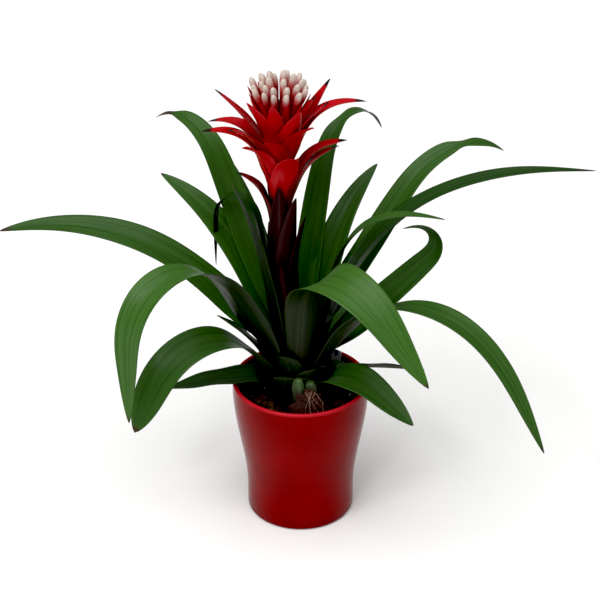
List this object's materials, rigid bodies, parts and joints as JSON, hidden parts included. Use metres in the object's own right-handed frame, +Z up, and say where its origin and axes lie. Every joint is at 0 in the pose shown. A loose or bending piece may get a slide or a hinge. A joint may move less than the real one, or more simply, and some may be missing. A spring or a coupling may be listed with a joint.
{
  "type": "potted bromeliad",
  "caption": "Bromeliad in a glossy red cover pot: arching strap leaves round a leafy stalk with a head of red bracts and white-tipped florets.",
  "frame": {"origin": "under the middle of the cover pot, on the surface that it stands on", "axes": "+Z up, -Y towards the front of the plant, +X to its right as seen from the front"},
  "size_m": [0.5753, 0.3069, 0.4771],
  "materials": {
    "glaze": "glossy glaze",
    "plastic": "matte black moulding",
    "soil": "loose dark potting mix with bark",
    "tag": "smooth white",
    "root": "dry and fibrous",
    "crown": "dull green-brown",
    "leaf": "waxy green with fine lengthwise veins",
    "stalk": "dark maroon, waxy",
    "bract": "glossy red",
    "floret": "waxy white tip over pink"
  },
  "bodies": {
    "root": {"ceramic_pot": "glaze", "nursery_pot": "plastic", "potting_mix": "soil", "care_tag": "tag", "crown_stem": "crown", "offset_shoot": "crown", "root_strands": "root", "leaf_low_left": "leaf", "leaf_low_front": "leaf", "leaf_low_back": "leaf", "leaf_edge_right": "leaf", "leaf_low_back_left": "leaf", "leaf_arch_left": "leaf", "leaf_arch_right": "leaf", "leaf_short_left": "leaf", "leaf_back": "leaf", "leaf_curl_right": "leaf", "leaf_fold_left": "leaf", "leaf_back_left": "leaf", "leaf_far_left": "leaf", "leaf_fold_front": "leaf", "leaf_far_right": "leaf", "leaf_up_left": "leaf", "leaf_mid_right": "leaf", "leaf_twist_right": "leaf", "leaf_dark_left": "leaf", "leaf_tall_left": "leaf", "leaf_up_right": "leaf", "leaf_tall_right": "leaf", "leaf_hang_left": "leaf", "flower_stalk": "stalk", "florets_inner": "floret", "florets_middle": "floret", "florets_outer": "floret", "stem_bract_1": "stalk", "stem_bract_2": "stalk", "stem_bract_3": "stalk", "stem_bract_4": "stalk", "stem_bract_5": "stalk", "head_bract_1_1": "bract", "head_bract_1_2": "bract", "head_bract_1_3": "bract", "head_bract_2_1": "bract", "head_bract_2_2": "bract", "head_bract_2_3": "bract", "head_bract_2_4": "bract", "head_bract_2_5": "bract", "head_bract_3_1": "bract", "head_bract_3_2": "bract", "head_bract_3_3": "bract", "head_bract_3_4": "bract", "head_bract_3_5": "bract", "head_bract_3_6": "bract", "head_bract_4_1": "bract", "head_bract_4_2": "bract", "head_bract_4_3": "bract", "head_bract_4_4": "bract", "head_bract_4_5": "bract", "head_bract_5_1": "bract", "head_bract_5_2": "bract"}
  },
  "joints": []
}
